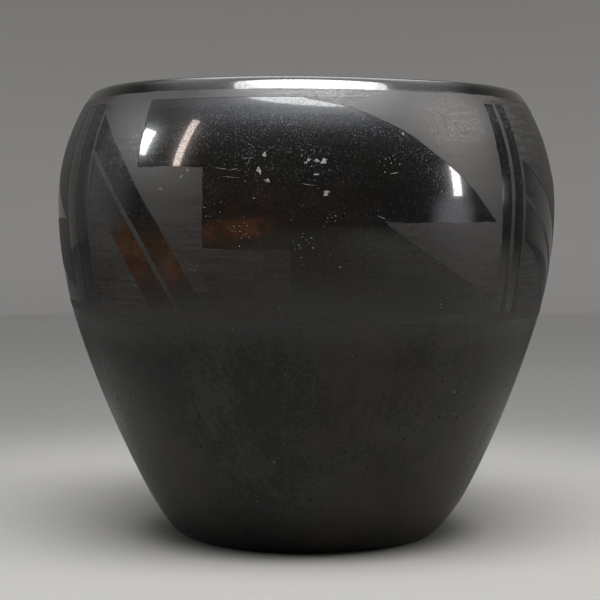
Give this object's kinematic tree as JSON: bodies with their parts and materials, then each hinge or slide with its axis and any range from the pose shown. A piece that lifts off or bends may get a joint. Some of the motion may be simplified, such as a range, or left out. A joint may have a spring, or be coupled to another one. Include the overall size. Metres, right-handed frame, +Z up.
{
  "type": "pueblo pottery jar",
  "caption": "Small hand-coiled blackware jar with an incurved wide mouth, tapering foot and a matte-on-polished band of stepped, slanted and winged panels, for holding or display.",
  "frame": {"origin": "centre of the foot on the surface the jar stands on", "axes": "+Z up along the jar's axis; -Y is the front, the panel seen in the picture"},
  "size_m": [0.1143, 0.1142, 0.101],
  "materials": {
    "smudged_clay": "scraped and wiped low-fired clay, smudged black",
    "burnished_slip": "stone-polished black slip, near mirror",
    "matte_slip": "brushed matte black slip paint"
  },
  "bodies": {
    "root": {"moulded_base": "smudged_clay", "wall_coil_1": "smudged_clay", "wall_coil_2": "smudged_clay", "wall_coil_3": "smudged_clay", "wall_coil_4": "smudged_clay", "wall_coil_5": "smudged_clay", "wall_coil_6": "smudged_clay", "rim_coil": "smudged_clay", "slip_coat": "burnished_slip", "lower_border": "matte_slip", "upper_border": "matte_slip", "panel_1_divider_line": "matte_slip", "panel_1_edge_line": "matte_slip", "panel_1_corner_field": "matte_slip", "panel_1_slant_line": "matte_slip", "panel_1_step_field": "matte_slip", "panel_1_wing_field": "matte_slip", "panel_1_wedge_field": "matte_slip", "panel_2_divider_line": "matte_slip", "panel_2_edge_line": "matte_slip", "panel_2_corner_field": "matte_slip", "panel_2_slant_line": "matte_slip", "panel_2_step_field": "matte_slip", "panel_2_wing_field": "matte_slip", "panel_2_wedge_field": "matte_slip", "panel_3_divider_line": "matte_slip", "panel_3_edge_line": "matte_slip", "panel_3_corner_field": "matte_slip", "panel_3_slant_line": "matte_slip", "panel_3_step_field": "matte_slip", "panel_3_wing_field": "matte_slip", "panel_3_wedge_field": "matte_slip"}
  },
  "joints": []
}
